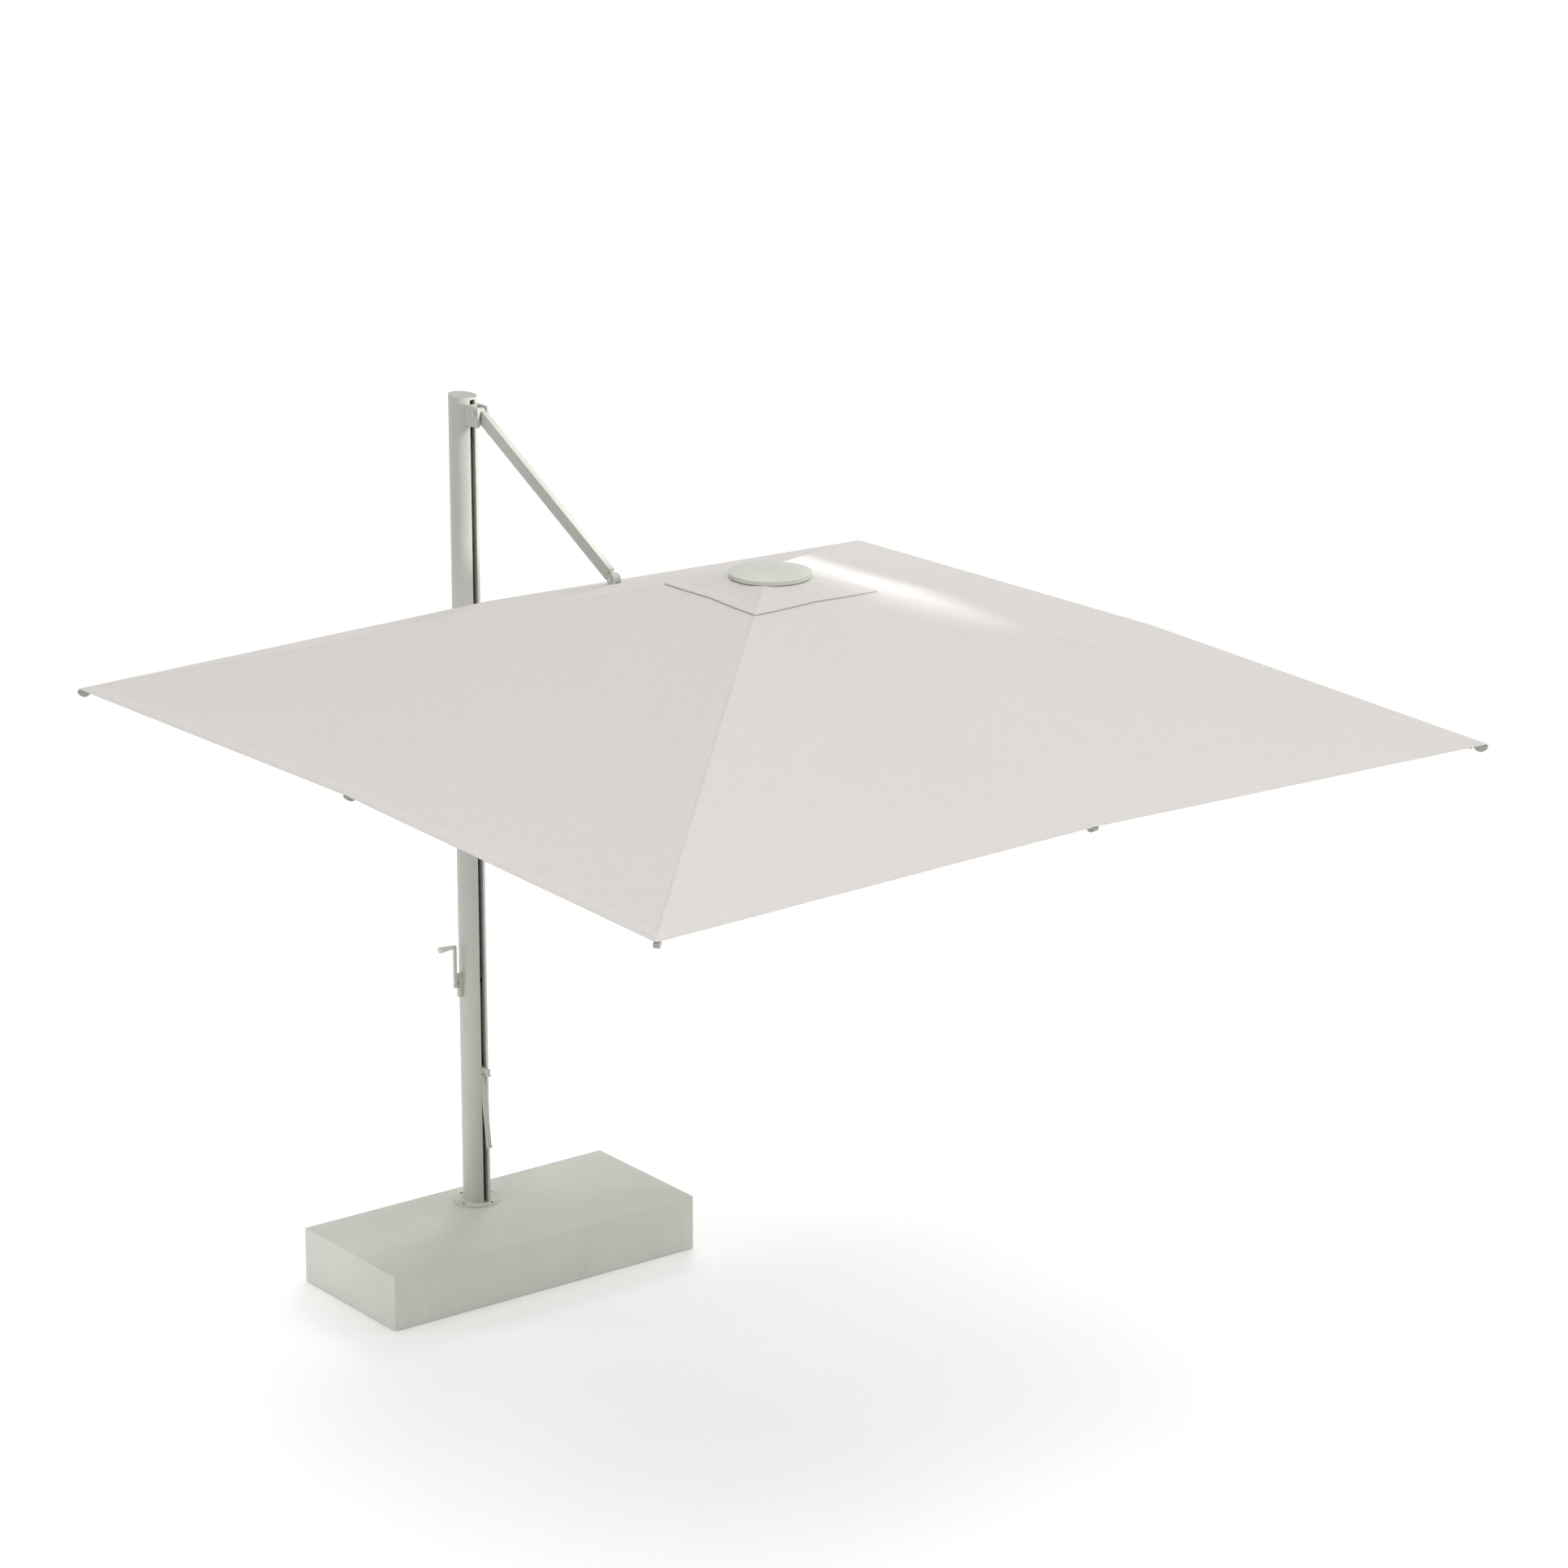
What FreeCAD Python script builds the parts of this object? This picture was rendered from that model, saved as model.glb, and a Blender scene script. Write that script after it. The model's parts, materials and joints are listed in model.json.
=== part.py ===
"""Cantilever parasol with a 3 m square canopy, hung from a slotted mast on a ballasted base.

Millimetres. The origin is on the ground under the mast's axis, +Z is up and +X points from the mast
to the canopy's centre. Everything is drawn open, as it stands in use.
"""

import FreeCAD, Part
import Sketcher
import math
import os
import re

from FreeCAD import Placement, Rotation, Vector

# Driving dimensions, in millimetres and degrees.
DIMENSIONS = {
    # ballasted base
    "base_rear": -130,
    "base_front": 407,
    "base_half_width": 592,
    "base_height": 187,
    "cover_wall": 2.5,
    "cover_lift": 2,
    "frame_inset": 6,
    "frame_plate": 5,
    "pedestal_half": 75,
    "pedestal_wall": 4,
    "pedestal_plate": 8,
    "slab_height": 50,
    "slab_gap": 10,
    # flange and its bolts
    "flange_radius": 77,
    "flange_height": 8,
    "bolt_circle": 67,
    "bolt_radius": 4.95,
    "bolt_hole": 5,
    "bolt_head": 5.8,
    "bolt_head_height": 3.5,
    "bolt_sunk": 2,
    "bolt_clearance": 6,
    "bolt_start_angle": 15,
    # mast: an elliptical extrusion with a slot along its front
    "mast_depth": 57,
    "mast_side": 40,
    "mast_wall": 3.5,
    "mast_top": 2922,
    "cap_height": 7,
    "slot_half": 9.25,
    "track_rear": 40,
    "track_side": 12.75,
    # linkage pivots
    "link_front": 97,
    "top_pivot_height": 2886,
    "link_length": 826,
    "strut_slope": 28.1,
    "hub_pivot_front": 1570,
    "hub_pivot_height": 2540,
    "pin_radius": 6,
    "pin_bore": 6.05,
    "cheek_inner": 14,
    "cheek_outer": 22,
    "bracket_low": 2842,
    "bracket_high": 2908,
    "bracket_corner": 10,
    "bracket_root": 12,
    "pin_head": 8.5,
    "pin_head_height": 2,
    # strut and arm tubes
    "strut_depth": 43,
    "strut_width": 18,
    "strut_wall": 2.5,
    "arm_depth": 60,
    "arm_width": 40,
    "arm_wall": 3,
    "strut_gap": 22,
    "arm_gap": 60,
    "plug_reach": 40,
    "plug_clearance": 0.2,
    "boss_radius": 18,
    "lug_inner": 9.2,
    "lug_outer": 14.2,
    "lug_foot_reach": 60,
    "lug_foot_height": 6,
    # upright link that keeps the rear rib parallel to the arm
    "prop_joint": 300,
    "prop_inner": 20.5,
    "prop_outer": 23.5,
    "prop_half_width": 9,
    "prop_collar": 6,
    # carriage inside the mast
    "carriage_rear": -22,
    "carriage_front": 38,
    "carriage_side": 22,
    "carriage_half_height": 55,
    "ear_inner": 9.6,
    "ear_outer": 16,
    "ear_half_height": 20,
    "glide_depth": 1.7,
    "glide_half_height": 12,
    "glide_inset": 14,
    "neck_side": 7.5,
    "face_rear": 2,
    "face_front": 9,
    "face_half_height": 40,
    # winch
    "winch_back": -8.5,
    "winch_height": 951,
    "rope_top_height": 2790,
    "pulley_rope_radius": 25,
    "pulley_rim": 29,
    "pulley_half_width": 6,
    "rope_radius": 3,
    "rope_groove": 3.3,
    "shaft_radius": 6,
    "shaft_bore": 6.05,
    "bush_radius": 9,
    "bush_length": 7.8,
    "bush_start": 30,
    "axle_radius": 5,
    "axle_bore": 5.05,
    "housing_width": 16.5,
    "housing_outer": 53,
    "housing_height": 83,
    "crank_inner": 59.5,
    "crank_outer": 68,
    "crank_width": 11,
    "crank_reach": 134.5,
    "grip_start": 69,
    "grip_end": 124,
    "grip_root": 6.5,
    "grip_tip": 11,
    "spindle_radius": 3,
    # cleat and tension lever in the slot
    "cleat_height": 662,
    "cleat_half_height": 9,
    "cleat_front": 66,
    "cleat_tip": 91,
    "horn_drop": 13,
    "horn_notch": 8,
    "horn_thickness": 9,
    "lever_pivot_front": 46.5,
    "lever_pivot_height": 640,
    "lever_length": 240,
    "lever_tilt": 7.6,
    "lever_half_width": 8.5,
    "lever_thickness": 6,
    "lever_pin": 4,
    "lever_bore": 4.05,
    # canopy, measured from the hub's axis
    "hub_axis": 1630,
    "canopy_half": 1500,
    "peak_height": 2706,
    "crown_height": 2675,
    "crown_half": 105,
    "middle_drop": 429,
    "corner_drop": 461,
    "middle_bow": 6,
    "corner_bow": 4,
    "fabric_thickness": 1,
    "fabric_hole": 18,
    "flap_half": 226,
    "flap_lift": 2.5,
    "slit_rear": 804,
    "slit_front": 858,
    "slit_half": 18,
    # hub, post and disc on top
    "hub_radius": 72,
    "hub_bottom": 2640.5,
    "hub_top": 2671.5,
    "hinge_radius": 60,
    "hinge_height": 2662.5,
    "hub_slot_root": 46,
    "small_pin": 3,
    "small_bore": 3.05,
    "hub_cheek_inner": 17,
    "hub_cheek_outer": 22,
    "post_radius": 16,
    "post_bore": 16.05,
    "post_wall": 2,
    "post_bottom": 1800,
    "post_top": 2663.5,
    "disc_radius": 123,
    "disc_underside": 2678,
    "disc_top": 2700,
    "disc_dome": 10,
    "disc_wall": 5,
    "disc_recess": 4,
    "disc_centre": 12,
    "stud_radius": 4,
    "stud_bore": 4.05,
    "stud_spacer": 10,
    # ribs and stretchers
    "rib_width": 14,
    "rib_depth": 22,
    "rib_wall": 1.8,
    "rib_clearance": 0.3,
    "middle_rib_end": 1458,
    "corner_rib_end": 2079,
    "middle_slope": 15.461,
    "corner_slope": 11.83,
    "tip_radius": 22,
    "tip_width": 17,
    "middle_joint": 400,
    "corner_joint": 370.27,
    "stretcher_depth": 16,
    "stretcher_plate": 3,
    "runner_bore": 17.05,
    "runner_radius": 26,
    "runner_end": 12,
    "ear_root": 20,
    "ear_radius": 10,
    "ear_width": 14,
    "open_bore": 4.6,
}

RIBS = {  # direction from the hub, in degrees from +X towards +Y
    "front": 0,
    "front_left": 45,
    "left": 90,
    "rear_left": 135,
    "rear": 180,
    "rear_right": 225,
    "right": 270,
    "front_right": 315,
}

ALONG_Y = Rotation(Vector(1, 0, 0), -90)
ALONG_Z = Rotation()


def sloped_down(angle):
    """The turn that tips +X down by an angle in degrees."""
    return Rotation(Vector(0, 1, 0), angle)


def bow_height(arc, bow, length, along):
    """How high a bowed rib stands above the straight line between its ends."""
    return math.sqrt(arc**2 - (along - length / 2) ** 2) - (arc - bow)


def linkage(size):
    """Places that follow from the driving dimensions, for the strut, arm, ribs and stretchers."""
    slope = math.radians(size["strut_slope"])
    reach = size["link_length"] * math.cos(slope)
    drop = size["link_length"] * math.sin(slope)
    arm_run = size["hub_pivot_front"] - size["link_front"]
    carriage_height = size["top_pivot_height"] - 2 * drop
    arm_rise = size["hub_pivot_height"] - carriage_height
    arm_slope = math.atan2(arm_rise, arm_run)
    worked_out = {
        "lug_pivot_front": size["link_front"] + reach,
        "lug_pivot_height": size["top_pivot_height"] - drop,
        "carriage_height": carriage_height,
        "arm_length": math.hypot(arm_run, arm_rise),
        "arm_slope": math.degrees(arm_slope),
        "lug_along": size["link_length"] * math.cos(slope - arm_slope),
        "lug_rise": size["link_length"] * math.sin(slope - arm_slope),
        "dome_radius": (size["disc_radius"] ** 2 + size["disc_dome"] ** 2) / (2 * size["disc_dome"]),
    }
    for kind in ("middle", "corner"):
        slope = math.radians(size[f"{kind}_slope"])
        length = (size[f"{kind}_rib_end"] - size["hinge_radius"]) / math.cos(slope)
        bow = size[f"{kind}_bow"]
        arc = (length**2 / 4 + bow**2) / (2 * bow)
        joint = size[f"{kind}_joint"]
        rise = bow_height(arc, bow, length, joint)
        link = math.hypot(joint, rise)
        fall = slope - math.atan2(rise, joint)
        worked_out[f"{kind}_length"] = length
        worked_out[f"{kind}_arc"] = arc
        worked_out[f"{kind}_rise"] = rise
        worked_out[f"{kind}_link"] = link
        worked_out[f"{kind}_fall"] = math.degrees(fall)
        worked_out[f"{kind}_runner_height"] = size["hinge_height"] - 2 * link * math.sin(fall)
    joint = size["prop_joint"]
    slope = math.radians(size["middle_slope"])
    rise = bow_height(worked_out["middle_arc"], size["middle_bow"], worked_out["middle_length"], joint)
    back = joint * math.cos(slope) + rise * math.sin(slope)
    down = joint * math.sin(slope) - rise * math.cos(slope)
    along = worked_out["arm_length"] - back * math.cos(arm_slope) - down * math.sin(arm_slope)
    worked_out["prop_rise"] = rise
    worked_out["prop_front"] = size["hub_pivot_front"] - back
    worked_out["prop_low"] = size["hub_pivot_height"] - down
    worked_out["prop_high"] = size["hinge_height"] - down
    worked_out["prop_along"] = along
    worked_out["prop_off_axis"] = back * math.sin(arm_slope) - down * math.cos(arm_slope)
    return {name: round(value, 4) for name, value in worked_out.items()}


SIZE = DIMENSIONS | linkage(DIMENSIONS)

doc = FreeCAD.newDocument("cantilever_parasol")
sheet = doc.addObject("Spreadsheet::Sheet", "Sizes")
for row, (alias, value) in enumerate(SIZE.items(), start=1):
    sheet.set(f"A{row}", alias)
    sheet.set(f"B{row}", str(value))
    sheet.setAlias(f"B{row}", alias)
doc.recompute()

PARTS = {}


def sized(expression):
    """An expression in sheet aliases, in the form that the document's objects take."""

    def named(word):
        return f"Sizes.{word.group()}" if word.group() in SIZE else word.group()

    return re.sub(r"[a-z][a-z_]*", named, str(expression))


def bind(thing, **sizes):
    for name, expression in sizes.items():
        thing.setExpression(name, sized(expression))
    return thing


def place(thing, start=("0", "0", "0"), turn=ALONG_Z):
    """Puts an object at a point given by three expressions, turned by a rotation."""
    thing.Placement = Placement(Vector(), turn)
    for axis, expression in zip("xyz", start):
        thing.setExpression(f"Placement.Base.{axis}", sized(expression))
    return thing


def block(x, y, z):
    """A box from three (low, high) pairs of expressions."""
    thing = doc.addObject("Part::Box", "Block")
    bind(thing, Length=f"{x[1]} - ({x[0]})", Width=f"{y[1]} - ({y[0]})", Height=f"{z[1]} - ({z[0]})")
    return place(thing, (x[0], y[0], z[0]))


def beam(x, side, z):
    """A box that is centred on Y = 0."""
    return block(x, (f"-({side})", side), z)


def rod(radius, start, length, turn=ALONG_Z):
    thing = doc.addObject("Part::Cylinder", "Rod")
    bind(thing, Radius=radius, Height=length)
    return place(thing, start, turn)


def cross_rod(radius, x, z, half_length, y_middle="0"):
    """A rod along Y, centred on y_middle."""
    return rod(radius, (x, f"{y_middle} - ({half_length})", z), f"2 * ({half_length})", ALONG_Y)


def ellipse_bar(depth, side, low, high):
    edge = doc.addObject("Part::Ellipse", "Outline")
    bind(edge, MajorRadius=depth, MinorRadius=side)
    place(edge, ("0", "0", low))
    bar = doc.addObject("Part::Extrusion", "EllipseBar")
    bar.Base = edge
    bar.Dir = Vector(0, 0, 1)
    bar.Solid = True
    return bind(bar, LengthFwd=f"{high} - ({low})")


def join(*shapes):
    thing = doc.addObject("Part::MultiFuse", "Join")
    thing.Shapes = list(shapes)
    return thing


def overlap(*shapes):
    thing = doc.addObject("Part::MultiCommon", "Overlap")
    thing.Shapes = list(shapes)
    return thing


def cut(base, *tools):
    thing = doc.addObject("Part::Cut", "Cut")
    thing.Base = base
    thing.Tool = tools[0] if len(tools) == 1 else join(*tools)
    return thing


def group(*shapes):
    """Separate solids that make up one sub-part, such as a set of equal pins."""
    thing = doc.addObject("Part::Compound", "Group")
    thing.Links = list(shapes)
    return thing


def part(label, shape):
    """Names a finished sub-part; its label is also its file's name."""
    shape.Label = label
    PARTS[label] = shape
    return shape


def around(count, first, radius, make):
    """Repeats make(x, y) on a circle about the mast's axis."""
    angles = [f"({first} + {360 / count * step})" for step in range(count)]
    return [make(f"{radius} * cos({angle})", f"{radius} * sin({angle})") for angle in angles]


def make_base():
    """Steel frame with its pedestal, concrete slabs and the sheet cover over them."""
    plate = beam(
        ("base_rear + frame_inset", "base_front - frame_inset"),
        "base_half_width - frame_inset",
        ("0", "frame_plate"),
    )
    under_cover = "base_height - cover_wall"
    pedestal = cut(
        beam(("-pedestal_half", "pedestal_half"), "pedestal_half", ("frame_plate", under_cover)),
        beam(
            ("pedestal_wall - pedestal_half", "pedestal_half - pedestal_wall"),
            "pedestal_half + 1",
            ("frame_plate", f"{under_cover} - pedestal_plate"),
        ),
    )
    threads = around(
        4,
        "bolt_start_angle",
        "bolt_circle",
        lambda x, y: rod("bolt_hole", (x, y, f"{under_cover} - 2 * pedestal_plate"), "2 * pedestal_plate"),
    )
    part("base_frame", cut(join(plate, pedestal), *threads))

    slab_x = ("base_rear + 2 * slab_gap", "base_front - 2 * slab_gap")
    slab_y = ("pedestal_half + slab_gap", "base_half_width - slab_gap - cover_wall")
    slabs = []
    for side in (1, -1):
        y_low, y_high = slab_y if side > 0 else (f"-({slab_y[1]})", f"-({slab_y[0]})")
        for layer in range(2):
            low = f"frame_plate + {layer} * slab_height"
            slabs.append(block(slab_x, (y_low, y_high), (low, f"{low} + slab_height")))
    part("ballast_slabs", group(*slabs))

    outside = beam(("base_rear", "base_front"), "base_half_width", ("cover_lift", "base_height"))
    inside = beam(
        ("base_rear + cover_wall", "base_front - cover_wall"),
        "base_half_width - cover_wall",
        ("0", under_cover),
    )
    holes = around(
        4,
        "bolt_start_angle",
        "bolt_circle",
        lambda x, y: rod("bolt_clearance", (x, y, f"{under_cover} - 1"), "cover_wall + 2"),
    )
    part("base_cover", cut(outside, inside, *holes))


def make_flange():
    """Round foot of the mast, with four sunk bolts."""
    plate = rod("flange_radius", ("0", "0", "base_height"), "flange_height")
    through = around(
        4,
        "bolt_start_angle",
        "bolt_circle",
        lambda x, y: rod("bolt_hole + 0.3", (x, y, "base_height - 1"), "flange_height + 2"),
    )
    sunk = around(
        4,
        "bolt_start_angle",
        "bolt_circle",
        lambda x, y: rod("bolt_clearance", (x, y, "base_height + bolt_sunk"), "flange_height"),
    )
    part("mast_flange", cut(plate, *through, *sunk))

    def bolt(x, y):
        shank_low = "base_height - cover_wall - pedestal_plate"
        head_low = "base_height + bolt_sunk + 0.1"
        shank = rod("bolt_radius", (x, y, shank_low), f"{head_low} - ({shank_low}) + 0.9")
        head = rod("bolt_head", (x, y, head_low), "bolt_head_height")
        socket = rod("bolt_radius / 2", (x, y, "base_height + bolt_head_height"), "flange_height")
        return cut(join(shank, head), socket)

    part("flange_bolts", group(*around(4, "bolt_start_angle", "bolt_circle", bolt)))


def mast_outside(low, high):
    """The mast's outline, a hair larger, to shape what lies against it."""
    return ellipse_bar("mast_depth + 0.05", "mast_side + 0.05", low, high)


def make_mast():
    low = "base_height + flange_height"
    tube = cut(
        ellipse_bar("mast_depth", "mast_side", low, "mast_top"),
        ellipse_bar("mast_depth - mast_wall", "mast_side - mast_wall", low, "mast_top"),
    )
    tracks = [
        block(("track_rear", "mast_depth - mast_wall"), side, (low, "mast_top"))
        for side in (("slot_half", "track_side"), ("-track_side", "-slot_half"))
    ]
    slot = beam(("track_rear - 5", "mast_depth + 5"), "slot_half", (low, "mast_top"))
    across = "mast_side + 2"
    bores = [
        cross_rod("bush_radius + 0.02", "winch_back", "winch_height", across),
        cross_rod("axle_bore", "winch_back", "rope_top_height", across),
        cross_rod("lever_bore", "lever_pivot_front", "lever_pivot_height", "track_side + 1"),
    ]
    part("mast", cut(cut(join(tube, *tracks), slot), *bores))

    lid = ellipse_bar("mast_depth", "mast_side", "mast_top", "mast_top + cap_height")
    plug_low = "mast_top - cap_height"
    wall = "mast_wall + plug_clearance"
    plug = cut(
        ellipse_bar(f"mast_depth - ({wall})", f"mast_side - ({wall})", plug_low, "mast_top + 1"),
        beam(("track_rear - 1", "mast_depth"), "mast_side", (f"{plug_low} - 1", "mast_top")),
    )
    part("mast_cap", join(lid, plug))


def slot_nut(low, high):
    """The key in the slot and the plate behind its tracks, which hold a fitting on the mast."""
    key = beam(("track_rear - 1", "mast_depth + 5"), "slot_half - 0.05", (low, high))
    plate = beam(("track_rear - 6", "track_rear - 0.05"), "track_side + 2", (low, high))
    return [key, plate]


def make_top_bracket():
    """Two rounded cheeks on the mast's front, which carry the strut's pin."""
    low, high, corner = "bracket_low", "bracket_high", "bracket_corner"
    root, nose = "mast_depth - bracket_root", "link_front + cheek_outer"
    round_from = f"{nose} - {corner}"
    levels = (f"{low} + {corner}", f"{high} - {corner}")
    cheeks = []
    for side in (("cheek_inner", "cheek_outer"), ("-cheek_outer", "-cheek_inner")):
        cheeks.append(block((root, round_from), side, (low, high)))
        cheeks.append(block((f"{round_from} - 1", nose), side, levels))
        for level in levels:
            cheeks.append(rod(corner, (round_from, side[0], level), "cheek_outer - cheek_inner", ALONG_Y))
    web = beam((root, "link_front - cheek_outer"), "cheek_outer", (low, high))
    shell = cut(join(web, *cheeks), mast_outside(f"{low} - 1", f"{high} + 1"))
    bore = cross_rod("pin_bore", "link_front", "top_pivot_height", "cheek_outer + 5")
    part("top_bracket", cut(join(shell, *slot_nut(f"{low} + 5", f"{high} - 5")), bore))


def make_mast_pins():
    """The strut's pin, the top pulley's axle and the lever's pin."""
    strut_pin = headed_pin("link_front", "top_pivot_height", "cheek_outer")
    axle = cross_rod("axle_radius", "winch_back", "rope_top_height", "mast_side - 1")
    lever_pin = cross_rod("lever_pin", "lever_pivot_front", "lever_pivot_height", "track_side")
    part("mast_pins", group(strut_pin, axle, lever_pin))


def grooved_wheel(height, bore):
    """A pulley on a Y axis whose groove takes the rope."""
    wheel = cross_rod("pulley_rim", "winch_back", height, "pulley_half_width")
    torus = doc.addObject("Part::Torus", "Groove")
    bind(torus, Radius1="pulley_rope_radius", Radius2="rope_groove")
    place(torus, ("winch_back", "0", height), ALONG_Y)
    mouth = cut(
        cross_rod("pulley_rim + 2", "winch_back", height, "rope_groove"),
        cross_rod("pulley_rope_radius", "winch_back", height, "rope_groove + 1"),
    )
    return cut(wheel, torus, mouth, cross_rod(bore, "winch_back", height, "pulley_half_width + 1"))


def make_winch():
    """Crank, shaft, pulleys and the rope loop that lifts the carriage."""
    half = "housing_height / 2 - housing_width / 2"
    levels = (f"winch_height - ({half})", f"winch_height + {half}")
    depth = "housing_outer - bush_start"
    plate = join(
        block(
            ("winch_back - housing_width / 2", "winch_back + housing_width / 2"),
            ("-housing_outer", "-bush_start"),
            levels,
        ),
        *[
            rod("housing_width / 2", ("winch_back", "-housing_outer", level), depth, ALONG_Y)
            for level in levels
        ],
    )
    bore = cross_rod("shaft_bore", "winch_back", "winch_height", "housing_outer + 1")
    around_mast = mast_outside("winch_height - housing_height", "winch_height + housing_height")
    part("winch_housing", cut(plate, around_mast, bore))

    bushes = [
        cut(
            rod("bush_radius", ("winch_back", start, "winch_height"), "bush_length", ALONG_Y),
            rod("shaft_bore", ("winch_back", f"{start} - 1", "winch_height"), "bush_length + 2", ALONG_Y),
        )
        for start in ("bush_start", "-bush_start - bush_length")
    ]
    part("winch_bushes", group(*bushes))

    socket_start = "-crank_inner - 5"
    shaft_end = "bush_start + 7"
    shaft_start = ("winch_back", socket_start, "winch_height")
    shaft = rod("shaft_radius", shaft_start, f"{shaft_end} - ({socket_start})", ALONG_Y)
    collar_start = ("winch_back", "-crank_inner + 0.1", "winch_height")
    collar = rod("shaft_radius + 3", collar_start, "crank_inner - housing_outer - 0.6", ALONG_Y)
    part("crank_shaft", join(shaft, collar))
    part("drive_pulley", grooved_wheel("winch_height", "shaft_bore"))
    part("top_pulley", grooved_wheel("rope_top_height", "axle_bore"))

    thickness = "crank_outer - crank_inner"
    top = "winch_height + crank_reach"
    bar = join(
        block(
            ("winch_back - crank_width / 2", "winch_back + crank_width / 2"),
            ("-crank_outer", "-crank_inner"),
            ("winch_height", top),
        ),
        rod("crank_width / 2 + 2", ("winch_back", "-crank_outer", "winch_height"), thickness, ALONG_Y),
        rod("crank_width / 2", ("winch_back", "-crank_outer", top), thickness, ALONG_Y),
        rod("spindle_radius", ("winch_back", "-grip_end + 5", top), "grip_end - crank_outer - 4", ALONG_Y),
    )
    socket = rod("shaft_bore", ("winch_back", f"{socket_start} - 0.05", "winch_height"), "6", ALONG_Y)
    part("crank_arm", cut(bar, socket))

    grip = doc.addObject("Part::Cone", "Grip")
    bind(grip, Radius1="grip_tip", Radius2="grip_root", Height="grip_end - grip_start")
    place(grip, ("winch_back", "-grip_end", top), ALONG_Y)
    bore_start = ("winch_back", "-grip_end + 4.5", top)
    grip_bore = rod("spindle_radius + 0.05", bore_start, "grip_end - grip_start", ALONG_Y)
    part("crank_grip", cut(grip, grip_bore))


def half_ring(height, first_angle):
    """Half a rope turn round a pulley, in the XZ plane."""
    ring = doc.addObject("Part::Torus", "HalfTurn")
    bind(ring, Radius1="pulley_rope_radius", Radius2="rope_radius")
    ring.Angle3 = 180
    turn = Rotation(Vector(0, 1, 0), first_angle) * Rotation(Vector(1, 0, 0), -90)
    return place(ring, ("winch_back", "0", height), turn)


def make_rope():
    """One endless loop: two straight runs and a half turn round each pulley."""
    starts = [(f"winch_back {sign} pulley_rope_radius", "0", "winch_height") for sign in "+-"]
    runs = [rod("rope_radius", start, "rope_top_height - winch_height") for start in starts]
    part("lift_rope", join(*runs, half_ring("rope_top_height", 180), half_ring("winch_height", 0)))


def outline_bar(name, points, half_width):
    """A PartDesign pad of a polygon in the XZ plane, centred on Y = 0; its points are expressions."""
    body = doc.addObject("PartDesign::Body", f"{name}_body")
    sketch = body.newObject("Sketcher::SketchObject", f"{name}_outline")
    plane = next(item for item in body.Origin.OriginFeatures if item.Role == "XZ_Plane")
    sketch.AttachmentSupport = (plane, "")
    sketch.MapMode = "FlatFace"
    count = len(points)
    turns = [2 * math.pi * n / count for n in range(count)]
    corners = [Vector(60 * math.cos(turn), 60 * math.sin(turn), 0) for turn in turns]
    for n in range(count):
        sketch.addGeometry(Part.LineSegment(corners[n], corners[(n + 1) % count]), False)
    for n in range(count):
        sketch.addConstraint(Sketcher.Constraint("Coincident", n, 2, (n + 1) % count, 1))
    for n, point in enumerate(points):
        held = (("DistanceX", point[0], corners[n].x), ("DistanceY", point[1], corners[n].y))
        for kind, along, value in held:
            index = sketch.addConstraint(Sketcher.Constraint(kind, -1, 1, n, 1, value + 1e-3))
            sketch.setExpression(f"Constraints[{index}]", sized(along))
    pad = body.newObject("PartDesign::Pad", f"{name}_pad")
    pad.Profile = sketch
    pad.Midplane = True
    bind(pad, Length=f"2 * ({half_width})")
    body.Tip = pad
    return body


def make_slot_fittings():
    """The forked cleat and the tension lever at the bottom of the slot."""
    low, high = "cleat_height - cleat_half_height", "cleat_height + cleat_half_height"
    horns = outline_bar(
        "cleat",
        [
            ("mast_depth - 2", low),
            ("cleat_front", low),
            ("cleat_tip", "cleat_height - horn_drop"),
            ("cleat_tip - horn_notch", "cleat_height"),
            ("cleat_tip", f"{high} + 2"),
            ("cleat_front", high),
            ("mast_depth - 2", high),
        ],
        "horn_thickness / 2",
    )
    part("rope_cleat", join(horns, *slot_nut(low, high)))

    boss = "lever_bore + 4"
    bar = join(
        cross_rod(boss, "0", "0", "lever_half_width"),
        beam(("-lever_thickness / 2", "lever_thickness / 2"), "lever_half_width", ("-lever_length", "0")),
        beam(
            ("-lever_thickness / 2", "lever_thickness * 1.5"),
            "lever_half_width",
            ("-lever_length - lever_thickness", "-lever_length"),
        ),
    )
    lever = cut(bar, cross_rod("lever_bore", "0", "0", "lever_half_width + 1"))
    place(lever, ("lever_pivot_front", "0", "lever_pivot_height"), sloped_down(-SIZE["lever_tilt"]))
    part("tension_lever", lever)


def square_tube(depth, width, wall, start, end):
    """A rectangular tube along +X, with its depth along Z."""
    return cut(
        beam((start, end), f"{width} / 2", (f"-{depth} / 2", f"{depth} / 2")),
        beam(
            (f"{start} - 1", f"{end} + 1"),
            f"{width} / 2 - {wall}",
            (f"{wall} - {depth} / 2", f"{depth} / 2 - {wall}"),
        ),
    )


def tube_end(depth, width, wall, pivot, inward, radius, half_width, neck, gap):
    """An end fitting: a bored boss at the pivot, a neck, and a plug inside the tube. inward is + or -."""
    tip, mouth, root = (f"{pivot} {inward} ({far})" for far in ("0", gap, f"{gap} + plug_reach"))
    plug_half = f"{width} / 2 - {wall} - plug_clearance"
    plug_top = f"{depth} / 2 - {wall} - plug_clearance"
    neck_x, plug_x = ((tip, root), (mouth, root)) if inward == "+" else ((root, tip), (root, mouth))
    body = join(
        cross_rod(radius, pivot, "0", half_width),
        beam(neck_x, neck, (f"-({radius} - 2)", f"{radius} - 2")),
        beam(plug_x, plug_half, (f"-({plug_top})", plug_top)),
    )
    return cut(body, cross_rod("pin_bore", pivot, "0", f"{half_width} + 1"))


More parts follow.
